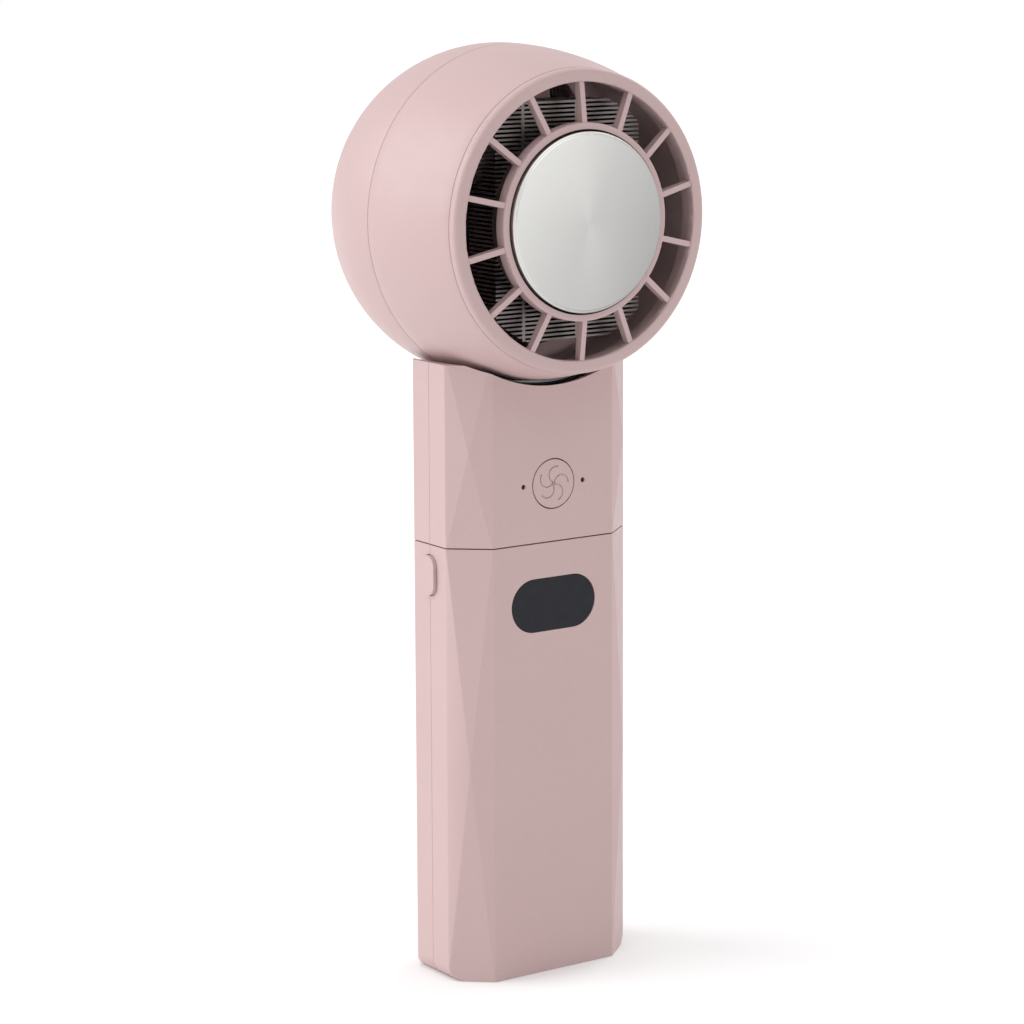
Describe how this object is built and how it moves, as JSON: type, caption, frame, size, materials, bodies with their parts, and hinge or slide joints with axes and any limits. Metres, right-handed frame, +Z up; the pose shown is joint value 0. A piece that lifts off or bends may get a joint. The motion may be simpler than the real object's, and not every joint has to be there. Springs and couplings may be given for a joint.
{
  "type": "handheld electric fan",
  "caption": "Handheld electric fan with a ball-shaped folding head, finned outlet grille, metal cold plate and a faceted handle that plugs onto a battery base.",
  "frame": {"origin": "middle of the handle's flat bottom face, which stands on a table", "axes": "+Z up the handle, -Y is the way that the fan blows, +X is the right hand side seen from the front"},
  "size_m": [0.0788, 0.0756, 0.2185],
  "materials": {
    "shell": "fine matte moulded plastic in dusty pink",
    "screw": "dark zinc",
    "lens": "smoked gloss",
    "black_plastic": "matte black",
    "gloss_black": "polished black",
    "board": "solder mask",
    "steel": "plain steel",
    "cell": "shrink sleeve",
    "contact": "gold flash",
    "plate": "circular brushed",
    "gasket": "soft black",
    "ceramic": "bare ceramic",
    "sink": "extruded",
    "winding": "enamelled copper wire",
    "magnet": "bonded magnet",
    "blade": "smoky dark gloss"
  },
  "bodies": {
    "base": {"base_front_shell": "shell", "base_rear_shell": "shell", "base_screws": "screw", "display_lens": "lens", "digit_module": "black_plastic", "display_board": "board", "side_switch": "steel", "side_switch_board": "board", "battery_cells": "cell", "battery_tabs": "steel", "charge_board": "board", "usb_c_socket": "steel", "dock_liner": "black_plastic", "dock_contacts": "contact", "dock_magnets": "steel"},
    "side_key": {"side_button": "shell"},
    "handle_top": {"upper_front_shell": "shell", "upper_rear_shell": "shell", "upper_screws": "screw", "power_switch": "steel", "control_board": "board", "board_screws": "screw", "light_pipes": "lens", "dock_plug": "black_plastic", "plug_contacts": "contact", "plug_magnets": "steel", "neck_block": "gloss_black", "hinge_pin": "steel"},
    "power_key": {"power_button": "shell"},
    "head": {"hinge_lug": "gloss_black", "head_front_shell": "shell", "head_rear_shell": "shell", "front_grille": "shell", "cold_plate": "plate", "plate_gasket": "gasket", "cooling_module": "ceramic", "heat_sink": "sink", "motor_mount": "black_plastic", "mount_screws": "screw", "motor_board": "board", "stator": "winding", "bearings": "steel"},
    "rotor": {"impeller": "blade", "rotor_cup": "steel", "magnet_ring": "magnet", "motor_shaft": "steel"}
  },
  "joints": [
    {"name": "base_unplug", "type": "slide", "parent": "base", "child": "handle_top", "axis": [0, 0, 1], "range_m": [0, 0.012]},
    {"name": "head_fold", "type": "hinge", "parent": "handle_top", "child": "head", "pos_m": [0, 0.0132, 0.1375], "axis": [-1, 0, 0], "range_deg": [0, 90]},
    {"name": "fan_spin", "type": "hinge", "parent": "head", "child": "rotor", "pos_m": [0, 0.008, 0.1791], "axis": [0, -1, 0], "continuous": true},
    {"name": "power_press", "type": "slide", "parent": "handle_top", "child": "power_key", "axis": [0, 1, 0], "range_m": [0, 0.0007], "stiffness_N_per_m": 400},
    {"name": "side_press", "type": "slide", "parent": "base", "child": "side_key", "axis": [1, 0, 0], "range_m": [0, 0.0007], "stiffness_N_per_m": 400}
  ]
}
